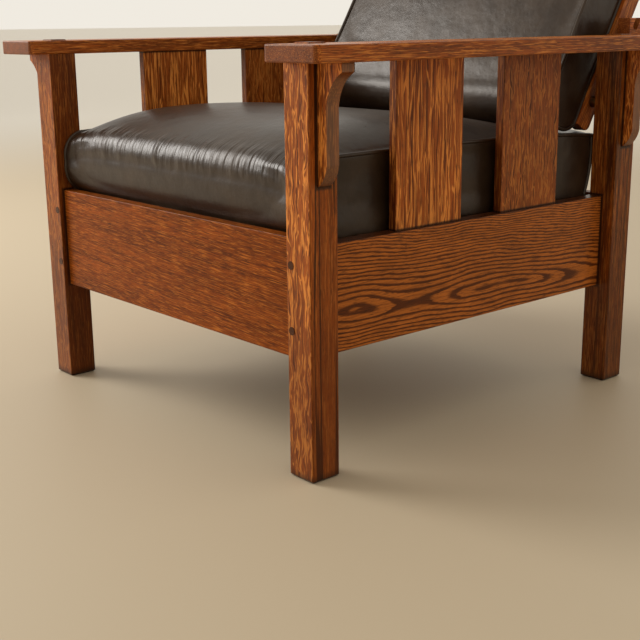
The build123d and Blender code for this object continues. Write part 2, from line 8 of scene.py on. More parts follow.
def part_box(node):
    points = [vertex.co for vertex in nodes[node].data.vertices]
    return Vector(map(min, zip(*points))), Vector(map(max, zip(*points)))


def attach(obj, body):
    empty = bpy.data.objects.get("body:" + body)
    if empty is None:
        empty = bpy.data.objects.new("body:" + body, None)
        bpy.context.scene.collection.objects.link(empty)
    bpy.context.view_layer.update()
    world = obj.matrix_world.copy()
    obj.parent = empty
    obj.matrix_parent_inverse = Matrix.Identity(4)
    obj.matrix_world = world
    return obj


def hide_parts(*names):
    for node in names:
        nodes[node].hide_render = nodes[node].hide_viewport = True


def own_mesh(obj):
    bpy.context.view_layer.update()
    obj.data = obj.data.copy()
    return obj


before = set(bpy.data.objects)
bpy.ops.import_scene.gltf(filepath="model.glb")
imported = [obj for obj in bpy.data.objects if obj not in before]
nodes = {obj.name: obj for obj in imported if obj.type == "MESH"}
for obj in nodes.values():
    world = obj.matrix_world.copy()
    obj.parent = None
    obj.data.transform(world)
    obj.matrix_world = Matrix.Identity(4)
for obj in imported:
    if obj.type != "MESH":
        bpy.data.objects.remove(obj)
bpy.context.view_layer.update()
print("frame loaded:", len(nodes), "CAD nodes")

millimetre = 0.001

# Where the camera stands in metres, how it is turned in degrees, and its lens in millimetres
camera = {
    "place": (1.4959, -1.4686, 0.6375),
    "yaw": 48.98,
    "pitch": 14.92,
    "roll": -0.60,
    "lens": 63.0,
    "sensor": 36.0,
}


def makeCamera(values):
    data = bpy.data.cameras.new("camera")
    data.lens = values["lens"]
    data.sensor_width = values["sensor"]
    viewer = bpy.data.objects.new("camera", data)
    bpy.context.scene.collection.objects.link(viewer)
    turn = (
        Matrix.Rotation(math.radians(values["yaw"]), 4, "Z")
        @ Matrix.Rotation(math.radians(90 - values["pitch"]), 4, "X")
        @ Matrix.Rotation(math.radians(values["roll"]), 4, "Z")
    )
    viewer.matrix_world = Matrix.Translation(values["place"]) @ turn
    bpy.context.scene.camera = viewer


makeCamera(camera)
print("camera placed")


# Short words for making and linking the nodes of one material
class Shader:
    def __init__(self, name):
        self.material = bpy.data.materials.new(name)
        self.material.use_nodes = True
        self.tree = self.material.node_tree
        self.tree.nodes.clear()
        output = self.add("ShaderNodeOutputMaterial")
        self.surface = self.add("ShaderNodeBsdfPrincipled")
        self.tree.links.new(self.surface.outputs[0], output.inputs["Surface"])
        coordinates = self.add("ShaderNodeTexCoord")
        self.object = coordinates.outputs["Object"]
        self.normal = coordinates.outputs["Normal"]

    def add(self, kind, **settings):
        node = self.tree.nodes.new(kind)
        for key, value in settings.items():
            setattr(node, key, value)
        return node

    def feed(self, node, name, value):  # links a socket, or sets the value, of one input
        socket = node.inputs[name]
        if isinstance(value, bpy.types.NodeSocket):
            self.tree.links.new(value, socket)
        else:
            socket.default_value = value

    def math(self, operation, first, second=0.0, third=0.0):
        node = self.add("ShaderNodeMath", operation=operation)
        for index, value in enumerate((first, second, third)):
            self.feed(node, index, value)
        return node.outputs[0]

    def vector(self, operation, first, second=(0, 0, 0)):
        node = self.add("ShaderNodeVectorMath", operation=operation)
        self.feed(node, 0, first)
        self.feed(node, "Scale" if operation == "SCALE" else 1, second)
        return node.outputs["Value" if operation in ("DOT_PRODUCT", "LENGTH") else "Vector"]

    def local(self, place=(0, 0, 0), turn=(0, 0, 0)):  # object coordinates, in millimetres
        node = self.add("ShaderNodeMapping", vector_type="TEXTURE")
        self.feed(node, "Vector", self.object)
        self.feed(node, "Location", place)
        self.feed(node, "Rotation", turn)
        self.feed(node, "Scale", (millimetre,) * 3)
        return node.outputs[0]

    def stretched(self, vector, lengths):  # a pattern's unit is this long along each axis
        return self.vector("DIVIDE", vector, lengths)

    def parts(self, vector):  # its x, y and z
        node = self.add("ShaderNodeSeparateXYZ")
        self.feed(node, 0, vector)
        return node.outputs

    def moved(self, vector, amount):  # the vector with its x changed
        node = self.add("ShaderNodeCombineXYZ")
        self.feed(node, "X", amount)
        return self.vector("ADD", vector, node.outputs[0])

    def noise(self, vector, detail=2.0, roughness=0.5):
        node = self.add("ShaderNodeTexNoise")
        self.feed(node, "Vector", vector)
        self.feed(node, "Scale", 1.0)
        self.feed(node, "Detail", detail)
        self.feed(node, "Roughness", roughness)
        return node.outputs["Fac"]

    def step(self, value, low, high):  # 0 at low, 1 at high and smooth between, whichever is larger
        node = self.add("ShaderNodeMapRange", interpolation_type="SMOOTHSTEP")
        self.feed(node, "Value", value)
        self.feed(node, "From Min", min(low, high))
        self.feed(node, "From Max", max(low, high))
        self.feed(node, "To Min", 0.0 if low < high else 1.0)
        self.feed(node, "To Max", 1.0 if low < high else 0.0)
        return node.outputs[0]

    def mix(self, share, first, second):
        node = self.add("ShaderNodeMix", data_type="RGBA")
        self.feed(node, 0, share)
        for index, colour in ((6, first), (7, second)):
            self.feed(node, index, (*colour, 1) if isinstance(colour, tuple) else colour)
        return node.outputs[2]

    def laid(self, mask, share, colour, over):  # a share of one colour over another where the mask is 1
        return self.mix(self.math("MULTIPLY", mask, share), colour, over)

    def swing(self, noise, size):  # size * (noise - 0.5)
        return self.math("MULTIPLY", self.math("SUBTRACT", noise, 0.5), size)

    def spread(self, noise, middle, width):  # middle + width * (noise - 0.5)
        return self.math("MULTIPLY_ADD", noise, width, middle - width / 2)

    def bump(self, height, strength, distance, normal=None):
        node = self.add("ShaderNodeBump")
        self.feed(node, "Height", height)
        self.feed(node, "Strength", strength)
        self.feed(node, "Distance", distance)
        if normal is not None:
            self.feed(node, "Normal", normal)
        return node.outputs[0]

    def finish(self, **values):
        for key, value in values.items():
            self.feed(self.surface, key.replace("_", " "), value)
        return self.material


# Oak: lengths in millimetres. A board may have its own value for any of these.
oak = {
    "deep": (0.072, 0.0135, 0.0022),
    "body": (0.335, 0.0760, 0.0088),
    "light": (0.720, 0.2450, 0.0440),
    # Near-black brown for pores, dark stripes and dirt, and also painted shade where boards meet and on
    # the side rails' tops
    "grime": (0.0150, 0.0060, 0.0030),
    "roughness": 0.36,
    "specular": 0.22,
    "glossTint": (1.0, 0.84, 0.62, 1),
    "tone": 1.0,
    "figure": 1.0,
    "stripes": 0.0,
    "slope": 0.0,
    "fleckWidth": 3.8,
    "fleckLength": 38.0,
    "fleckDepth": 30.0,
    "sway": 12.0,
    "grimeWidth": 4.0,
    "edgeWidth": 2.6,
    "toneSpread": 0.6,
    "glossSpread": 0.16,
    "relief": (0.25, 0.0002),
}
lean = math.radians(31.0)
seedSteps = (91.0, 57.0, 133.0)

# Streaks: wave lengths across, out of and along the board, the two levels that the noise is cut
# between, and for some its detail and roughness
grain = {
    "growthLines": ((1.7, 9.0, 120.0), 0.48, 0.64),
    "thinLines": ((1.8, 1.8, 60.0), 0.46, 0.62),
    "bands": ((13.0, 13.0, 330.0), 0.36, 0.64),
    "longLines": ((1.5, 1.5, 150.0), 0.50, 0.64),
    "darkDashes": ((1.4, 1.4, 30.0), 0.50, 0.60),
    "lightDashes": ((1.5, 1.5, 36.0), 0.53, 0.61),
    "pores": ((0.9, 0.9, 14.0), 0.56, 0.68, 1.0, 0.6),
}

# The share of the wood's colour that each mark covers
covers = {
    "growthLines": 0.88,
    "flecks": 0.95,
    "thinLines": 0.35,
    "rings": 0.92,
    "bands": 0.40,
    "longLines": 0.60,
    "darkDashes": 0.50,
    "lightDashes": 0.62,
    "ends": 0.50,
    "pores": 0.55,
    "edges": 0.35,
    # darkening where boards meet: dirt mixed with painted shade
    "dirtAndShade": 0.85,
}

# Dark stripes: their wave lengths, the width of the level that shows, and their detail
stripeLines = ((26.0, 26.0, 1300.0), 0.030, 2.0)

# Growth rings: how the heart line waves, how ragged the rings are, and which part of each is dark
rings = {
    "waveLengths": (70.0, 70.0, 190.0),
    "waveSize": 26.0,
    "raggedLengths": (4.0, 4.0, 34.0),
    "raggedSize": 3.4,
    "darkUntil": (0.48, 0.20),
    "darkFrom": (0.90, 1.0),
}


# A board's own axes at rest: across the figured face, out of that face, and along the grain.
# Half the size of its box along them gives the distance to its edges.
def boardPlace(name, wood):
    along = Vector(wood["grain"])
    out = Vector(wood["face"])
    across = out.cross(along)
    turn = Matrix((across, out, along)).transposed()
    if wood.get("leaning"):
        turn = Matrix.Rotation(-lean, 3, "X") @ turn
    points = np.empty(len(nodes[name].data.vertices) * 3, np.float32)
    nodes[name].data.vertices.foreach_get("co", points)
    local = points.reshape(-1, 3) @ np.array(turn)
    low, high = local.min(0), local.max(0)
    centre = turn @ Vector((low + high) / 2)
    return turn, centre, (high - low) / 2 / millimetre


# A noise with its own wave lengths across, out of and along the board, cut between two levels
def streaks(shader, spot, lengths, low, high, detail=2.0, roughness=0.55):
    return shader.step(shader.noise(shader.stretched(spot, lengths), detail, roughness), low, high)


# Thin lines where a noise passes its middle level
def contours(shader, spot, lengths, width, detail=1.0):
    field = shader.noise(shader.stretched(spot, lengths), detail, 0.5)
    return shader.step(shader.math("ABSOLUTE", shader.math("SUBTRACT", field, 0.5)), width, width * 0.4)


# Quarter-sawn figure: flecks are blobs and loops of a stretched noise whose place is bent by
# a slower one; straight dark growth lines run between them.
def fleckedFace(shader, spot, wood):
    width, depth, length = wood["fleckWidth"], wood["fleckDepth"], wood["fleckLength"]
    sway = shader.noise(shader.stretched(spot, (width * 4, width * 4, length * 0.9)), 1.0)
    swayed = shader.moved(spot, shader.math("MULTIPLY", sway, wood["sway"]))
    loops = contours(shader, swayed, (width * 1.7, depth, length * 1.1), 0.050)
    broken = streaks(shader, swayed, (width * 1.5, depth, length * 0.5), 0.40, 0.54)
    blobs = streaks(shader, swayed, (width * 0.8, depth, length), 0.54, 0.62, 1.6)
    flecks = shader.math("MAXIMUM", shader.math("MULTIPLY", loops, broken), blobs)
    lines = streaks(shader, swayed, *grain["growthLines"])
    colour = shader.laid(lines, covers["growthLines"], wood["body"], wood["deep"])
    return shader.laid(flecks, covers["flecks"] * wood["figure"], colour, wood["light"])


# Plain-sawn figure: the distance to a waving heart line behind the face, cut into rings that get
# finer outwards: rings = distance / ring + distance^2 / tighten.
# The heart comes nearer in hollows = (place along the grain, length, depth), which closes the ovals.
def ringedFace(shader, spot, wood):
    across, out, along = shader.parts(spot)
    depth = wood["heartDepth"]
    for place, length, change in wood["hollows"]:
        share = shader.math("DIVIDE", shader.math("SUBTRACT", along, place), length)
        square = shader.math("MULTIPLY", share, share)
        bell = shader.math("EXPONENT", shader.math("MULTIPLY", square, -1.0))
        depth = shader.math("SUBTRACT", depth, shader.math("MULTIPLY", bell, change))
    wave = shader.noise(shader.stretched(spot, rings["waveLengths"]), 2.0)
    side = shader.math("SUBTRACT", across, wood["heartPlace"])
    side = shader.math("ADD", side, shader.swing(wave, rings["waveSize"]))
    side = shader.math("ADD", side, shader.math("MULTIPLY", along, wood["heartSlope"]))
    behind = shader.math("SUBTRACT", depth, out)
    squares = [shader.math("MULTIPLY", value, value) for value in (side, behind)]
    distance = shader.math("SQRT", shader.math("ADD", *squares))
    ragged = shader.noise(shader.stretched(spot, rings["raggedLengths"]), 3.0, 0.6)
    distance = shader.math("ADD", distance, shader.swing(ragged, rings["raggedSize"]))
    finer = shader.math("MULTIPLY_ADD", distance, 1.0 / wood["tighten"], 1.0 / wood["ring"])
    ring = shader.math("FRACT", shader.math("MULTIPLY", distance, finer))
    darkParts = [shader.step(ring, *levels) for levels in (rings["darkUntil"], rings["darkFrom"])]
    dark = shader.math("MAXIMUM", *darkParts)
    thin = streaks(shader, spot, *grain["thinLines"])
    pale = shader.laid(thin, covers["thinLines"], wood["light"], wood["deep"])
    return shader.laid(dark, covers["rings"] * wood["figure"], pale, wood["deep"])


# Rift figure: soft bands, long dark lines, short dark and light dashes, and a few dark stripes.
# The grain may drift across the board by a slope.
def plainFace(shader, spot, wood):
    drift = shader.math("MULTIPLY", shader.parts(spot)[2], wood["slope"])
    spot = shader.moved(spot, drift)
    aside = shader.vector("ADD", spot, (40.0, 10.0, 70.0))
    bands = streaks(shader, spot, *grain["bands"])
    colour = shader.laid(bands, covers["bands"], wood["body"], wood["deep"])
    lines = shader.math("MULTIPLY", streaks(shader, spot, *grain["longLines"]), bands)
    colour = shader.laid(lines, covers["longLines"], colour, wood["deep"])
    dark = streaks(shader, spot, *grain["darkDashes"])
    colour = shader.laid(dark, covers["darkDashes"] * wood["figure"], colour, wood["deep"])
    light = streaks(shader, aside, *grain["lightDashes"])
    colour = shader.laid(light, covers["lightDashes"] * wood["figure"], colour, wood["light"])
    return shader.laid(contours(shader, aside, *stripeLines), wood["stripes"], colour, wood["grime"])


# 1 in and just round a node's box, 0 from a soft margin on: boards are darker where they meet, partly
# dirt and partly painted shade in the corners between them
def nearBox(shader, name, reach):
    low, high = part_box(name)
    place = shader.vector("SUBTRACT", shader.object, tuple((low + high) / 2))
    past = shader.vector("SUBTRACT", shader.vector("ABSOLUTE", place), tuple((high - low) / 2))
    first, second, third = shader.parts(shader.vector("SCALE", past, 1 / millimetre))
    most = shader.math("MAXIMUM", shader.math("MAXIMUM", first, second), third)
    return shader.step(most, reach, reach * 0.25)


# 1 along the edges of the board's box, where the middle one of the three distances past it is near zero
def alongEdges(shader, spot, half, width):
    past = shader.vector("SUBTRACT", shader.vector("ABSOLUTE", spot), tuple(half))
    first, second, third = shader.parts(past)
    high = shader.math("MAXIMUM", shader.math("MAXIMUM", first, second), third)
    low = shader.math("MINIMUM", shader.math("MINIMUM", first, second), third)
    total = shader.math("ADD", shader.math("ADD", first, second), third)
    return shader.step(shader.math("SUBTRACT", total, shader.math("ADD", high, low)), -width, 0.0)


# 1 on both faces that look along an axis of the board, 0 on the others
def facesAlong(shader, axis):
    facing = shader.vector("DOT_PRODUCT", shader.normal, tuple(axis))
    return shader.step(shader.math("ABSOLUTE", facing), 0.6, 0.8)


figures = {"quartered": fleckedFace, "ringed": ringedFace, "plain": plainFace}


# The figured faces and the plain ones, then end grain, pores, worn edges, a colour on faces that look
# one way (partly painted shade on the side rails' tops), dirt and painted shade at the neighbours, and
# dark feet
def oakMaterial(name, values):
    shader = Shader("oak_" + name)
    wood = {**oak, **values}
    turn, centre, half = boardPlace(name, wood)
    spot = shader.local(centre, turn.to_euler())
    seeded = shader.vector("ADD", spot, tuple(wood["seed"] * step for step in seedSteps))
    figured = figures[wood["cut"]](shader, spot if wood["cut"] == "ringed" else seeded, wood)
    body, figure = wood.get("sideBody", wood["body"]), wood.get("sideFigure", wood["figure"])
    plain = plainFace(shader, seeded, {**wood, "body": body, "figure": figure})
    colour = shader.mix(facesAlong(shader, turn.col[1]), plain, figured)
    colour = shader.laid(facesAlong(shader, turn.col[2]), covers["ends"], colour, wood["deep"])
    pores = streaks(shader, seeded, *grain["pores"])
    colour = shader.laid(pores, covers["pores"], colour, wood["grime"])
    edges = alongEdges(shader, spot, half, wood["edgeWidth"])
    colour = shader.laid(edges, covers["edges"], colour, wood["deep"])
    # Faces that look one way take on a colour; on the side rails' tops it is grime mixed with painted
    # shade under the seat cushion
    for direction, share, over in wood.get("worn", ()):
        facing = shader.vector("DOT_PRODUCT", shader.normal, direction)
        colour = shader.laid(shader.step(facing, 0.45, 0.75), share, colour, over)
    # Dirt mixed with painted shade next to each neighbouring board
    for neighbour in wood.get("meets", ()):
        dirtAndShade = nearBox(shader, neighbour, wood["grimeWidth"])
        colour = shader.laid(dirtAndShade, covers["dirtAndShade"], colour, wood["grime"])
    for high, low, share, over in wood.get("foot", ()):
        height = shader.parts(shader.object)[2]
        colour = shader.laid(shader.step(height, high, low), share, colour, over)
    cloud = shader.noise(shader.stretched(seeded, (38.0, 38.0, 120.0)), 3.0, 0.55)
    fine = shader.noise(shader.stretched(seeded, (1.0, 1.0, 22.0)), 2.0, 0.65)
    relief = shader.math("MULTIPLY_ADD", pores, -1.0, shader.math("MULTIPLY", fine, 0.5))
    tone = shader.spread(cloud, wood["tone"], wood["toneSpread"])
    return shader.finish(
        Base_Color=shader.vector("SCALE", colour, tone),
        Roughness=shader.spread(cloud, wood["roughness"], wood["glossSpread"]),
        Specular_IOR_Level=wood["specular"],
        Specular_Tint=wood["glossTint"],
        Normal=shader.bump(relief, *wood["relief"]),
    )


# One material for the whole of a CAD node
def dress(name, material):
    mesh = nodes[name].data
    if len(mesh.materials):
        mesh.materials[0] = material
    else:
        mesh.materials.append(material)


# Ways that grain runs and faces look
upright, deepways, crossways = (0, 0, 1), (0, 1, 0), (1, 0, 0)
forwards, upwards = (0, -1, 0), (0, 0, 1)

# Wear and darkening: colours, and for a foot the heights in metres between which it sets in, and its
# share
dusty = (0.140, 0.088, 0.056)
slatEdge = (0.160, 0.030, 0.004)
# The posts get darker towards the bottom, nearly black in the last 16 mm
darkFoot = ((0.34, 0.14, 0.40, oak["deep"]), (0.016, 0.0, 0.80, oak["grime"]))

# What differs between the two front posts
frontPosts = {
    "left": {"tone": 1.0, "figure": 1.0, "stripes": 0.85, "sideBody": (0.300, 0.066, 0.007)},
    "right": {"tone": 0.80, "figure": 0.6, "stripes": 0.25, "sideBody": (0.190, 0.040, 0.004)},
}


def board(cut, grain, face, seed, **looks):
    return {"cut": cut, "grain": grain, "face": face, "seed": seed, **looks}


# Every wooden piece: its cut, the way its grain runs, the way its figured face looks, the seed of
# its figure, and what differs from the values in oak
boards = {}
for side, sign in (("left", 1), ("right", -1)):
    outwards = (sign, 0, 0)
    rail, arm = f"side_rail_{side}", f"arm_{side}"
    posts = (f"front_post_{side}", f"rear_post_{side}")
    slats = (f"side_slat_front_{side}", f"side_slat_rear_{side}")
    boards[f"front_post_{side}"] = board(
        "quartered", upright, forwards, 2 + sign, meets=(f"corbel_front_{side}", "front_rail", rail),
        grimeWidth=6.0, sideFigure=0.45, foot=darkFoot, **frontPosts[side],
    )
    boards[f"rear_post_{side}"] = board(
        "plain", upright, forwards, 5 + sign, meets=(f"corbel_rear_{side}", "rear_rail", rail),
        grimeWidth=6.0, tone=0.66, stripes=0.5, foot=darkFoot,
    )
    # The side rails' upward faces are darkened: grime mixed with painted shade under the seat cushion
    boards[rail] = board(
        "ringed", deepways, outwards, 7 + sign, meets=posts + slats,
        light=(0.470, 0.130, 0.018), tone=0.96, worn=((upwards, 0.75, oak["grime"]),),
        heartDepth=36.0, heartPlace=-34.0 * sign, heartSlope=0.0585 * sign,
        ring=9.5, tighten=1500.0, hollows=((60.0, 145.0, 26.0), (-268.0, 80.0, 15.0)),
    )
    boards[f"side_slat_front_{side}"] = board(
        "quartered", upright, outwards, 10 + sign, meets=(rail, arm),
        fleckWidth=4.4, fleckLength=100.0, sideBody=slatEdge,
    )
    boards[f"side_slat_rear_{side}"] = board(
        "quartered", upright, outwards, 13 + sign, meets=(rail, arm),
        tone=0.78, figure=0.55, sideBody=slatEdge,
    )
    boards[arm] = board("quartered", deepways, upwards, 16 + sign, fleckLength=60.0)
    for number, end in enumerate(("front", "rear")):
        boards[f"corbel_{end}_{side}"] = board(
            "quartered", upright, forwards, 19 + sign + number * 3, meets=(f"{end}_post_{side}",),
            grimeWidth=3.0, worn=((outwards, 0.60, dusty),),
        )
    boards[f"rack_{side}"] = board("plain", deepways, outwards, 25 + sign)
    boards[f"back_stile_{side}"] = board("plain", upright, forwards, 28 + sign, leaning=True)
    boards[f"ledger_{side}"] = board("plain", deepways, outwards, 31 + sign)
    boards[f"seat_member_{side}"] = board("plain", deepways, upwards, 34 + sign)
for number, end in enumerate(("front", "rear")):
    boards[f"{end}_rail"] = board(
        "plain", crossways, forwards, 37 + number, meets=(f"{end}_post_left", f"{end}_post_right"),
        specular=0.08, tone=0.83, slope=0.05, light=(0.620, 0.190, 0.026), body=(0.320, 0.068, 0.0060),
    )
    boards[f"seat_member_{end}"] = board("plain", crossways, upwards, 39 + number)
    boards[f"{end}_pegs"] = board("plain", deepways, upwards, 50 + number, tone=0.35, figure=0.3)
backBoards = ["back_rail_bottom", "back_rail_top"] + [f"back_slat_{number}" for number in (1, 2, 3, 4)]
for number, name in enumerate(backBoards):
    boards[name] = board("quartered", crossways, forwards, 41 + number, leaning=True)

for name, values in boards.items():
    dress(name, oakMaterial(name, values))
print("oak pieces dressed:", len(boards))

# Rod, collars, bolts and screws
metals = {
    "brass": {"colour": (0.42, 0.27, 0.10), "tarnish": (0.10, 0.065, 0.035), "roughness": 0.34},
    "steel": {"colour": (0.36, 0.34, 0.32), "tarnish": (0.12, 0.09, 0.075), "roughness": 0.46},
}

# Blotches of tarnish and fine rub marks: wave lengths in millimetres
metalWear = {
    "blotches": (30.0, 9.0, 9.0),
    "tarnished": (0.38, 0.66),
    "rubs": (3.0, 0.6, 0.6),
    "glossSpread": 0.2,
    "relief": (0.12, 0.0001),
}


def metalMaterial(name, values):
    shader = Shader(name)
    spot = shader.local()
    worn = shader.noise(shader.stretched(spot, metalWear["blotches"]), 4.0, 0.6)
    fine = shader.noise(shader.stretched(spot, metalWear["rubs"]), 3.0, 0.6)
    bright = shader.step(worn, *metalWear["tarnished"])
    return shader.finish(
        Base_Color=shader.mix(bright, values["tarnish"], values["colour"]),
        Metallic=1.0,
        Roughness=shader.spread(fine, values["roughness"], metalWear["glossSpread"]),
        Normal=shader.bump(fine, *metalWear["relief"]),
    )


brass = metalMaterial("aged_brass", metals["brass"])
steel = metalMaterial("dull_steel", metals["steel"])
for name in ("adjusting_rod", "hinge_spacer_left", "hinge_spacer_right"):
    dress(name, brass)
for name in ("hinge_bolt_left", "hinge_bolt_right", "ledger_screws", "rack_screws"):
    dress(name, steel)
print("metal pieces dressed")


# New meshes: arrays of points and quads go in whole
def makePiece(name, points, faces, material):
    mesh = bpy.data.meshes.new(name)
    mesh.from_pydata(points.reshape(-1, 3).tolist(), [], faces.tolist())
    mesh.update()
    mesh.polygons.foreach_set("use_smooth", np.ones(len(mesh.polygons), bool))
    mesh.materials.append(material)
    piece = bpy.data.objects.new(name, mesh)
    bpy.context.scene.collection.objects.link(piece)
    return piece


# The corners of each cell of a grid of point numbers, as quads
def gridFaces(grid):
    return np.stack([grid[:-1, :-1], grid[1:, :-1], grid[1:, 1:], grid[:-1, 1:]], -1).reshape(-1, 4)


# An arc from one point through a second to a third, for arrays of points: the centre is equally far
# from all three, and the angle runs evenly from the first to the last.
def arcThrough(start, middle, end, count):
    a, b = middle - start, end - start
    cross = 2 * (a[..., 0] * b[..., 1] - a[..., 1] * b[..., 0])
    la, lb = (a * a).sum(-1), (b * b).sum(-1)
    away = np.stack([b[..., 1] * la - a[..., 1] * lb, a[..., 0] * lb - b[..., 0] * la], -1)
    centre = start + away / cross[..., None]
    angles = [np.arctan2(*(point - centre)[..., ::-1].T).T for point in (start, middle, end)]
    turn = np.mod(angles[2] - angles[0], 2 * np.pi)
    through = np.mod(angles[1] - angles[0], 2 * np.pi)
    turn = np.where(through > turn, turn - 2 * np.pi, turn)
    radius = np.linalg.norm(start - centre, axis=-1)
    share = np.linspace(0, 1, count)[:, None]
    angle = angles[0] + share * turn
    return centre + radius[..., None] * np.stack([np.cos(angle), np.sin(angle)], -1)


# point = start * (1 - share) + end * share
def straightTo(start, end, count=9):
    share = np.linspace(0, 1, count)[:, None, None]
    return start * (1 - share) + end * share


# A line of points in two at one of them, which both parts keep
def parted(line, place):
    return line[: place + 1], line[place:]


# Several runs of points end to end, spaced evenly along the middle column, with the last one left out
def joinedRuns(runs, count):
    line = np.concatenate([runs[0]] + [run[1:] for run in runs[1:]])
    middle = line[:, line.shape[1] // 2]
    length = np.concatenate([[0], np.cumsum(np.linalg.norm(np.diff(middle, axis=0), axis=-1))])
    index = np.interp(np.linspace(0, length[-1], count + 1), length, np.arange(len(length)))
    low = np.minimum(index.astype(int), len(line) - 2)
    share = (index - low)[:, None, None]
    return (line[low] * (1 - share) + line[low + 1] * share)[:-1]


# A four-sided patch between four edges: both ruled surfaces added, less the flat one on the corners
def patchBetween(bottom, top, left, right):
    u = np.linspace(0, 1, len(bottom))[:, None, None]
    v = np.linspace(0, 1, len(left))[None, :, None]
    ruled = (1 - v) * bottom[:, None] + v * top[:, None] + (1 - u) * left[None] + u * right[None]
    corners = (1 - u) * ((1 - v) * bottom[0] + v * top[0]) + u * ((1 - v) * bottom[-1] + v * top[-1])
    return ruled - corners


# A boxed cushion: a panel wrapped round from side to side over four edges of its profile, and two
# side panels that share its outer columns and stand out by bulge * (sin(pi u) * sin(pi v))^fullness.
# Returns points, faces, and the numbers of both seams.
def boxedCushion(edges, sides, fullness=0.6):
    ring = np.concatenate(edges)
    around, columns = ring.shape[:2]
    flat = ring.reshape(-1, 3)
    points = [flat]
    grid = np.arange(around * columns).reshape(around, columns)
    faces = [gridFaces(np.vstack([grid, grid[:1]]))]
    total = around * columns
    first, second, third = np.cumsum([len(edge) for edge in edges])[:3]
    for column, bulge in sides:
        loop = grid[:, column]
        leftIds = loop[: first + 1]
        topIds = loop[first : second + 1]
        rightIds = loop[second : third + 1][::-1]
        bottomIds = np.concatenate([loop[third:], loop[:1]])[::-1]
        patch = patchBetween(flat[bottomIds], flat[topIds], flat[leftIds], flat[rightIds])
        u = np.linspace(0, 1, patch.shape[0])[:, None]
        v = np.linspace(0, 1, patch.shape[1])[None]
        patch[..., 0] += bulge * (np.sin(np.pi * u) * np.sin(np.pi * v)) ** fullness
        ids = np.empty(patch.shape[:2], int)
        ids[:, 0], ids[:, -1], ids[0], ids[-1] = bottomIds, topIds, leftIds, rightIds
        inner = (patch.shape[0] - 2) * (patch.shape[1] - 2)
        ids[1:-1, 1:-1] = total + np.arange(inner).reshape(patch.shape[0] - 2, -1)
        points.append(patch[1:-1, 1:-1].reshape(-1, 3))
        total += inner
        sideFaces = gridFaces(ids)
        faces.append(sideFaces if column == 0 else sideFaces[:, ::-1])
    return np.concatenate(points), np.concatenate(faces), [grid[:, 0], grid[:, -1]]


# Seat cushion in metres: y runs backwards and z up. Rows are the points along its front, top, rear
# and base, and half is half its width.
seat = {
    "half": 0.3160,
    "base": 0.3247,
    "baseFront": -0.4704,
    "lip": -0.4901,
    "rear": 0.1938,
    "footRear": 0.1808,
    "kneeHeight": 0.016,
    "underLip": 0.3496,
    "edgeHeights": (0.1270, 0.1305, 0.1162),
    "rollDepth": 0.030,
    "rollHeight": 0.050,
    "crown": 0.0460,
    "crownPower": 8,
    "crownDepthShares": (0.0, 0.09, 0.25, 0.55, 0.85, 1.0),
    "crownShares": (0.34, 0.80, 1.0, 0.86, 0.28, 0.20),
    "rearRound": 0.003,
    "drawIn": 0.004,
    "columns": 177,
    "rows": (24, 97, 24, 97),
    "rollSteps": 16,
    "sideBulge": 0.0042,
    "pipingRadius": 0.0032,
    "pipingSteps": 10,
    "swelling": {"pressure": 4.0, "cap": 0.005, "eases": ((2, 0.330, 0.400), (1, 0.160, 0.040))},
    "creasing": {
        "seed": 11, "count": 62, "depth": 0.0014, "width": 0.0076, "lean": 0.25,
        "widthShares": (0.5, 1.3), "depthShares": (0.3, 1.0), "sidePower": 10,
        "eases": ((1, -0.440, -0.476), (2, 0.400, 0.440)),
    },
}


# A quarter round's middle lies this share of its radius inside each of its tangents
bend = 1 - math.cos(math.pi / 4)

# Points on a short and on a long run of a profile, before they are spaced evenly
shortRun, longRun = 17, 65


# The same spot of the profile in every column
def columnSpot(y, z, even):
    return np.stack([y * even, z * even], -1)


# The sides pull in between the ends of a cushion:
# x = share * (half - drawIn * (1 - ((place - middle) / reach)^2)), with the place along one axis
def withSides(runs, values, share, start, end, axis):
    edges = []
    middle, reach = (start + end) / 2, (end - start) / 2
    for run, count in zip(runs, values["rows"]):
        line = joinedRuns(run, count)
        pull = np.clip(1 - ((line[..., axis] - middle) / reach) ** 2, 0, 1)
        x = share * (values["half"] - values["drawIn"] * pull)
        edges.append(np.concatenate([x[..., None], line], -1))
    return edges


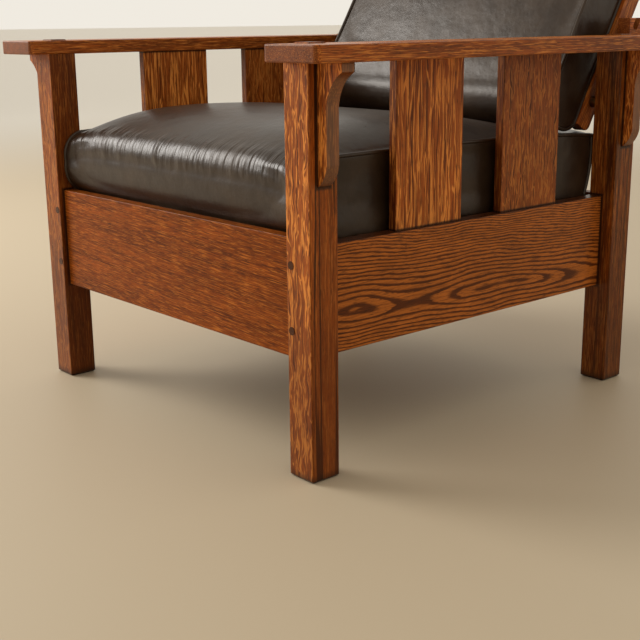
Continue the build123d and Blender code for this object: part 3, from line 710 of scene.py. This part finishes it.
# Seat profile at every column: up the front, back over the top, down the rear and along the base.
# The top stands on a parabola through the three edge heights, plus a crown = rise * fade: the rise
# falls off to the sides by a power, and the fade is a curve through the shares given over the depth.
def seatEdges(values):
    share = np.linspace(-1, 1, values["columns"])
    rise = values["crown"] * (1 - np.abs(share) ** values["crownPower"])
    even = np.ones_like(share)
    base, lip, rear, under = values["base"], values["lip"], values["rear"], values["underLip"]
    rollBack = lip + values["rollDepth"]
    depth = np.linspace(0, 1, longRun)[:, None]
    degree = len(values["crownShares"]) - 1
    fade = np.polyval(np.polyfit(values["crownDepthShares"], values["crownShares"], degree), depth)
    front, middle, last = values["edgeHeights"]
    edge = (
        front * (1 - depth) * (1 - 2 * depth)
        + middle * 4 * depth * (1 - depth)
        + last * depth * (2 * depth - 1)
    )
    top = np.stack([(rollBack + depth * (rear - rollBack)) * even, base + edge + fade * rise], -1)
    frontTop = top[0, :, 1]
    rollBottom = frontTop - values["rollHeight"]
    kneeTop = base + values["kneeHeight"]
    baseFront = columnSpot(values["baseFront"], base, even)
    lipCorner = columnSpot(values["baseFront"], under, even)
    bellyFront = lip + (values["baseFront"] - lip) * bend
    belly = columnSpot(bellyFront, under + (rollBottom - under) * bend, even)
    face = columnSpot(lip, rollBottom, even)
    roll = columnSpot(lip + values["rollDepth"] * bend, frontTop - values["rollHeight"] * bend, even)
    rearBelly = columnSpot(rear - values["rearRound"] * bend, (top[-1, :, 1] + kneeTop) / 2, even)
    knee = columnSpot(values["footRear"], kneeTop, even)
    foot = columnSpot(values["footRear"], base, even)
    rollArc = arcThrough(face, roll, top[0], 2 * values["rollSteps"] + 1)
    rollFront, rollTop = parted(rollArc, values["rollSteps"])
    runs = (
        [straightTo(baseFront, lipCorner), arcThrough(lipCorner, belly, face, shortRun), rollFront],
        [rollTop, top],
        [arcThrough(top[-1], rearBelly, knee, shortRun), straightTo(knee, foot)],
        [straightTo(foot, baseFront)],
    )
    return withSides(runs, values, share, values["baseFront"], rear, 0)


# Back cushion in metres, beside an upright back with its hinge at the origin
back = {
    "half": 0.3010,
    "rear": -0.0183,
    "thickness": 0.082,
    "low": -0.052,
    "lowest": -0.080,
    "frontLow": -0.022,
    "high": 0.606,
    "roll": 0.030,
    "edgeCrown": 0.006,
    "crown": 0.0140,
    "crownPower": 3,
    "endShare": 0.35,
    "drawIn": 0.006,
    "columns": 87,
    "rows": (14, 93, 14, 93),
    "lowSteps": 16,
    "highSteps": 12,
    "sideBulge": 0.004,
    "pipingRadius": 0.0032,
    "pipingSteps": 10,
    "swelling": {"pressure": 4.0, "cap": 0.004, "eases": ((1, -0.019, -0.070), (2, 0.0, 0.12))},
    "hinge": (0.0, 0.205609, 0.4969),
    "keep": 0.958,
}


# Back profile beside an upright back: along the round lower end, up the front, over the upper end
# and down the rear. The front stands out by rise = edgeCrown + crown * (1 - |share|^power) at its
# middle, and by a share of that at both ends.
def backEdges(values):
    share = np.linspace(-1, 1, values["columns"])
    rise = values["edgeCrown"] + values["crown"] * (1 - np.abs(share) ** values["crownPower"])
    endRise = rise * values["endShare"]
    even = np.ones_like(share)
    rear, front = values["rear"], values["rear"] - values["thickness"]
    high, low, roll = values["high"], values["frontLow"], values["roll"]
    lowRear = columnSpot(rear, values["low"], even)
    lowest = columnSpot((rear + front) / 2, values["lowest"], even)
    frontLow = columnSpot(front - endRise, low, even)
    crown = columnSpot(front - rise, (high + low) / 2, even)
    frontHigh = columnSpot(front - endRise, high - roll, even)
    highRoll = columnSpot(front - endRise * (1 - bend) + roll * bend, high - roll * bend, even)
    highEnd = columnSpot(front + roll, high, even)
    highRear = columnSpot(rear, high, even)
    lowArc = arcThrough(lowRear, lowest, frontLow, 3 * values["lowSteps"] + 1)
    lowEnd, lowFront = parted(lowArc, 2 * values["lowSteps"])
    highArc = arcThrough(frontHigh, highRoll, highEnd, 2 * values["highSteps"] + 1)
    highFront, highTop = parted(highArc, values["highSteps"])
    runs = (
        [lowEnd],
        [lowFront, arcThrough(frontLow, crown, frontHigh, longRun), highFront],
        [highTop, straightTo(highEnd, highRear)],
        [straightTo(highRear, lowRear)],
    )
    return withSides(runs, values, share, values["lowest"], high, 1)


# The whole back cushion leans with the stiles, round the hinge
def leanBack(points):
    turn = np.array(Matrix.Rotation(-lean, 3, "X"))
    return points @ turn.T + np.array(back["hinge"])


# A tube along a closed line of points: line + radius * (cos(angle) * side + sin(angle) * up), where
# side and up stand square to the line
def roundTube(line, radius, steps):
    along = np.roll(line, -1, 0) - np.roll(line, 1, 0)
    along /= np.linalg.norm(along, axis=1)[:, None]
    side = np.cross(along, np.array([1.0, 0, 0]))
    side /= np.linalg.norm(side, axis=1)[:, None]
    up = np.cross(side, along)
    angle = np.linspace(0, 2 * np.pi, steps, endpoint=False)[None, :, None]
    points = line[:, None] + radius * (np.cos(angle) * side[:, None] + np.sin(angle) * up[:, None])
    grid = np.arange(len(line) * steps).reshape(len(line), steps)
    grid = np.vstack([grid, grid[:1]])
    grid = np.hstack([grid, grid[:, :1]])
    return points.reshape(-1, 3), gridFaces(grid)


# Leather: wave lengths in millimetres. Creases = (wave lengths, up to this y, above this z), where a
# panel turns over; they fade in over the two lengths given in metres.
leather = {
    "colour": (0.0170, 0.0078, 0.0034),
    "light": (0.0330, 0.0180, 0.0090),
    "roughness": 0.33,
    "glossSpread": 0.24,
    "specular": 0.38,
    "glossTint": (1.0, 0.91, 0.80, 1),
    "cloud": 70.0,
    "cell": 1.6,
    "cellRelief": (0.12, 0.0002),
    "ripple": 26.0,
    "rippleRelief": (0.25, 0.004),
    "creases": (),
    "creaseFades": (0.035, 0.030),
    "creaseRelief": (0.8, 0.0042),
    "creaseWorn": 0.5,
}
seatCreases = (((12.0, 90.0, 90.0), -0.440, 0.412),)
nick = {
    "place": (0.240, -0.484, 0.437),
    "size": (0.0022, 0.012, 0.010),
    "colour": (0.004, 0.002, 0.001),
}


def leatherMaterial(name, values):
    shader = Shader(name)
    spot = shader.local()
    cloud = shader.noise(shader.stretched(spot, (values["cloud"],) * 3), 4.0, 0.6)
    cell = shader.add("ShaderNodeTexVoronoi", feature="DISTANCE_TO_EDGE")
    shader.feed(cell, "Vector", shader.stretched(spot, (values["cell"],) * 3))
    shader.feed(cell, "Scale", 1.0)
    grained = shader.step(cell.outputs["Distance"], 0.0, 0.25)
    ripple = shader.noise(shader.stretched(spot, (values["ripple"],) * 3), 3.0, 0.5)
    colour = shader.mix(shader.step(cloud, 0.38, 0.70), values["colour"], values["light"])
    normal = shader.bump(grained, *values["cellRelief"])
    normal = shader.bump(ripple, *values["rippleRelief"], normal)
    _, y, z = shader.parts(shader.object)
    forward, up = values["creaseFades"]
    for lengths, end, above in values["creases"]:
        inFront, overhead = shader.step(y, end, end - forward), shader.step(z, above, above + up)
        place = shader.math("MULTIPLY", inFront, overhead)
        sharp = shader.noise(shader.stretched(spot, lengths), 2.0, 0.58)
        normal = shader.bump(shader.swing(sharp, place), *values["creaseRelief"], normal)
        worn = shader.math("MULTIPLY", shader.step(sharp, 0.50, 0.66), place)
        colour = shader.laid(worn, values["creaseWorn"], colour, values["light"])
    if "nick" in values:
        away = shader.vector("SUBTRACT", shader.object, values["nick"]["place"])
        length = shader.vector("LENGTH", shader.vector("DIVIDE", away, values["nick"]["size"]))
        colour = shader.mix(shader.step(length, 1.0, 0.6), colour, values["nick"]["colour"])
    return shader.finish(
        Base_Color=colour,
        Roughness=shader.spread(cloud, values["roughness"], values["glossSpread"]),
        Specular_IOR_Level=values["specular"],
        Specular_Tint=values["glossTint"],
        Normal=normal,
    )


seatLeather = leatherMaterial("seat_leather", {**leather, "creases": seatCreases, "nick": nick})
backLeather = leatherMaterial("back_leather", leather)
print("leather ready")


# Each point takes on half of its neighbours' mean, several times over
def smoothed(values, mesh, rounds):
    pairs = np.empty(len(mesh.edges) * 2, np.int32)
    mesh.edges.foreach_get("vertices", pairs)
    pairs = pairs.reshape(-1, 2)
    first, second = np.concatenate([pairs, pairs[:, ::-1]]).T
    count = np.bincount(first, minlength=len(values))
    for _ in range(rounds):
        sums = [np.bincount(first, column, len(values)) for column in values[second].T]
        values = (values + np.stack(sums, -1) / count[:, None]) / 2
    return values


# 0 up to one level of a coordinate and 1 from another on, with share^2 * (3 - 2 * share) between them,
# for each (axis, level, level)
def easedOver(points, eases):
    free = np.ones(len(points))
    for axis, still, loose in eases:
        share = np.clip((points[:, axis] - still) / (loose - still), 0, 1)
        free = free * share * share * (3 - 2 * share)
    return free


clothRun = {"quality": 5, "frames": 20, "smoothingRounds": 6}


# Pressure swells the panels between their seams, which stay where they are. Its eases keep a cushion
# still where it rests or must stay clear, and its cap is the most that a point may move.
def swell(piece, seams, values):
    before = np.empty(len(piece.data.vertices) * 3, np.float32)
    piece.data.vertices.foreach_get("co", before)
    points = before.reshape(-1, 3)
    free = easedOver(points, values["eases"])
    group = piece.vertex_groups.new(name="held")
    group.add(np.unique(np.concatenate([*seams, np.flatnonzero(free == 0)])).tolist(), 1.0, "REPLACE")
    cloth = piece.modifiers.new("swelling", "CLOTH")
    settings = cloth.settings
    settings.vertex_group_mass = "held"
    settings.use_pressure = True
    settings.uniform_pressure_force = values["pressure"]
    settings.quality = clothRun["quality"]
    settings.effector_weights.gravity = 0
    cloth.collision_settings.use_collision = False
    cloth.point_cache.frame_start = 1
    cloth.point_cache.frame_end = clothRun["frames"]
    for number in range(1, clothRun["frames"] + 1):
        bpy.context.scene.frame_set(number)
    evaluated = piece.evaluated_get(bpy.context.evaluated_depsgraph_get())
    after = np.empty_like(before)
    evaluated.data.vertices.foreach_get("co", after)
    piece.modifiers.remove(cloth)
    piece.vertex_groups.remove(group)
    bpy.context.scene.frame_set(1)
    moved = smoothed((after - before).reshape(-1, 3), piece.data, clothRun["smoothingRounds"])
    moved = moved * free[:, None]
    length = np.linalg.norm(moved, axis=1)
    print(piece.name, "swelled by up to", round(float(length.max()) * 1000, 1), "mm")
    return points + moved * (values["cap"] / np.maximum(length, values["cap"]))[:, None]


# Creases where a panel turns over an edge: each one is sunk by depth * exp(-((x - place) / width)^2),
# and they fade out towards the seams.
def creased(piece, points, values):
    normals = np.empty(points.size, np.float32)
    piece.data.vertices.foreach_get("normal", normals)
    half = np.abs(points[:, 0]).max()
    random = np.random.default_rng(values["seed"])
    places = random.uniform(-half, half, values["count"])
    widths = random.uniform(*values["widthShares"], values["count"]) * values["width"]
    depths = random.uniform(*values["depthShares"], values["count"]) ** 2 * values["depth"]
    leans = random.uniform(-1, 1, values["count"]) * values["lean"]
    away = points[:, 0, None] - places - leans * (points[:, 2, None] - points[:, 2].mean())
    sunk = (depths * np.exp(-((away / widths) ** 2))).sum(1) * easedOver(points, values["eases"])
    sunk = sunk * (1 - np.abs(points[:, 0] / half) ** values["sidePower"])
    return points - normals.reshape(-1, 3) * sunk[:, None]


# The cushion with its piping; returns its pieces
def makeCushion(name, edges, values, material, body, node, place):
    columns = ((0, -values["sideBulge"]), (values["columns"] - 1, values["sideBulge"]))
    points, faces, seams = boxedCushion(edges, columns)
    cushion = makePiece(name, points, faces, material)
    points = swell(cushion, seams, values["swelling"])
    if "creasing" in values:
        points = creased(cushion, points, values["creasing"])
    points = place(points)
    cushion.data.vertices.foreach_set("co", points.astype(np.float32).ravel())
    cushion.data.update()
    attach(cushion, body)
    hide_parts(node)
    pieces = [cushion]
    for side, seam in zip(("right", "left"), seams):
        tube, tubeFaces = roundTube(points[seam], values["pipingRadius"], values["pipingSteps"])
        piping = makePiece(f"{name}_piping_{side}", tube, tubeFaces, material)
        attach(piping, body)
        pieces.append(piping)
    print(name, len(points), "points")
    return pieces


makeCushion(
    "seat_leather_cushion", seatEdges(seat), seat, seatLeather, "frame", "seat_cushion",
    lambda points: points,
)
backPieces = makeCushion(
    "back_leather_cushion", backEdges(back), back, backLeather, "back", "back_cushion",
    leanBack,
)

# Each piece of the back cushion gets a mesh of its own
for piece in backPieces:
    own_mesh(piece)

# Jute webbing: straps both ways, each over and under the next. The straps' places follow the CAD
# lattice: the outer ones are centred one strap width in from its edges.
webbing = {
    "width": 0.050,
    "thickness": 0.0011,
    "wave": 0.0006,
    "flatness": 1.5,
    "counts": (5, 6),
    "steps": 25,
    "colour": (0.330, 0.225, 0.115),
    "dark": (0.120, 0.072, 0.032),
    "thread": 2.2,
    "threadLength": 30.0,
    "roughness": 0.85,
    "specular": 0.2,
    "relief": (0.6, 0.0006),
}


# A strap swept along its length as a flat oblong. Its middle is high and low by turns at the
# crossings: z = wave * flatness * cos(pi * number of crossings passed), cut off at the wave's height,
# so that it lies flat at each crossing.
def wovenStrap(length, pitch, crossings, phase, values):
    along = np.linspace(-length / 2, length / 2, values["steps"] * crossings)
    first = -(crossings - 1) * pitch / 2
    swing = values["flatness"] * np.cos(np.pi * ((along - first) / pitch + phase))
    height = values["wave"] * np.clip(swing, -1, 1)
    half, thin = values["width"] / 2, values["thickness"] / 2
    below = [(-half, -thin), (0, -thin), (half, -thin)]
    outline = np.array(below + [(half, thin), (0, thin), (-half, thin)])
    points = np.empty((len(along), len(outline), 3))
    points[..., 0] = along[:, None]
    points[..., 1] = outline[:, 0]
    points[..., 2] = outline[:, 1] + height[:, None]
    ids = np.arange(len(along) * len(outline)).reshape(len(along), len(outline))
    ids = np.hstack([ids, ids[:, :1]])
    starts = np.array([ids[0, [3, 2, 1, 0]], ids[0, [0, 5, 4, 3]]])
    ends = np.array([ids[-1, [0, 1, 2, 3]], ids[-1, [3, 4, 5, 0]]])
    return points.reshape(-1, 3), np.concatenate([gridFaces(ids)[:, ::-1], starts, ends])


def makeWebbing(values):
    low, high = (np.array(corner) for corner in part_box("seat_webbing"))
    size, middle = high - low, (high + low) / 2
    longCount, crossCount = values["counts"]
    pitchX = (size[0] - 2 * values["width"]) / (longCount - 1)
    pitchY = (size[1] - 2 * values["width"]) / (crossCount - 1)
    points, faces, total = [], [], 0
    for number in range(longCount + crossCount):
        isLong = number < longCount
        place = number if isLong else number - longCount
        run = (size[1], pitchY, crossCount) if isLong else (size[0], pitchX, longCount)
        strap, strapFaces = wovenStrap(*run, place + (0 if isLong else 1), values)
        if isLong:
            offset = (place - (longCount - 1) / 2) * pitchX
            strap = np.stack([offset - strap[:, 1], strap[:, 0], strap[:, 2]], -1)
        else:
            strap = strap + np.array([0, (place - (crossCount - 1) / 2) * pitchY, 0])
        points.append(strap + middle)
        faces.append(strapFaces + total)
        total += len(strap)
    points, faces = np.concatenate(points), np.concatenate(faces)
    return makePiece("jute_webbing", points, faces, juteMaterial(values))


# Coarse plain weave: threads that run both ways
def juteMaterial(values):
    shader = Shader("jute")
    spot = shader.local()
    thread, length = values["thread"], values["threadLength"]
    threads = [
        shader.noise(shader.stretched(spot, lengths), 1.0)
        for lengths in ((thread, length, length), (length, thread, length))
    ]
    weave = shader.math("MAXIMUM", *threads)
    return shader.finish(
        Base_Color=shader.mix(shader.step(weave, 0.46, 0.64), values["dark"], values["colour"]),
        Roughness=values["roughness"],
        Specular_IOR_Level=values["specular"],
        Normal=shader.bump(weave, *values["relief"]),
    )


straps = makeWebbing(webbing)
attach(straps, "frame")
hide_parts("seat_webbing")
print("webbing woven:", len(straps.data.vertices), "points")

# Floor and lamps
stage = {
    "floorColour": (0.52, 0.42, 0.285),
    "farColour": (0.86, 0.80, 0.70),
    "farFrom": 2.6,
    "farTo": 6.5,
    "floorRoughness": 0.55,
    "floorReach": 150.0,
    "worldColour": (0.95, 0.90, 0.81),
    "worldStrength": 0.76,
    "worldSeen": 0.92,
    "keyPlace": (-3.3, -2.1, 2.1),
    "keyTarget": (0, 0, 0.4),
    "keySize": 2.4,
    "keyPower": 138.0,
}


# Plain, and paler far off so that it meets the sky softly
def makeFloor(values):
    shader = Shader("floor")
    away = shader.vector("LENGTH", shader.object)
    far = shader.step(away, values["farFrom"], values["farTo"])
    colour = shader.mix(far, values["floorColour"], values["farColour"])
    shader.finish(Base_Color=colour, Roughness=values["floorRoughness"])
    corners = values["floorReach"] * np.array([(-1, -1, 0), (1, -1, 0), (1, 1, 0), (-1, 1, 0)], float)
    floor = makePiece("floor", corners, np.array([[0, 1, 2, 3]]), shader.material)


# A round lamp turned towards its target
def makeLamp(name, place, target, size, power):
    data = bpy.data.lights.new(name, "AREA")
    data.shape = "DISK"
    data.size = size
    data.energy = power
    lamp = bpy.data.objects.new(name, data)
    bpy.context.scene.collection.objects.link(lamp)
    aim = (Vector(target) - Vector(place)).to_track_quat("-Z", "Y")
    lamp.matrix_world = Matrix.Translation(place) @ aim.to_matrix().to_4x4()


# The sky that the camera and shiny surfaces see is brighter than the light it casts
def makeWorld(values):
    world = bpy.data.worlds.new("studio")
    world.use_nodes = True
    tree = world.node_tree
    sky = tree.nodes["Background"]
    path = tree.nodes.new("ShaderNodeLightPath")
    seen = tree.nodes.new("ShaderNodeMath")
    seen.operation = "MAXIMUM"
    tree.links.new(path.outputs["Is Camera Ray"], seen.inputs[0])
    tree.links.new(path.outputs["Is Glossy Ray"], seen.inputs[1])
    strength = tree.nodes.new("ShaderNodeMapRange")
    tree.links.new(seen.outputs[0], strength.inputs["Value"])
    strength.inputs["To Min"].default_value = values["worldStrength"]
    strength.inputs["To Max"].default_value = values["worldSeen"]
    tree.links.new(strength.outputs[0], sky.inputs["Strength"])
    sky.inputs["Color"].default_value = (*values["worldColour"], 1)
    bpy.context.scene.world = world


makeFloor(stage)
makeLamp("key_lamp", stage["keyPlace"], stage["keyTarget"], stage["keySize"], stage["keyPower"])
makeWorld(stage)
bpy.context.scene.view_settings.view_transform = "Standard"
print("stage and lamps ready")
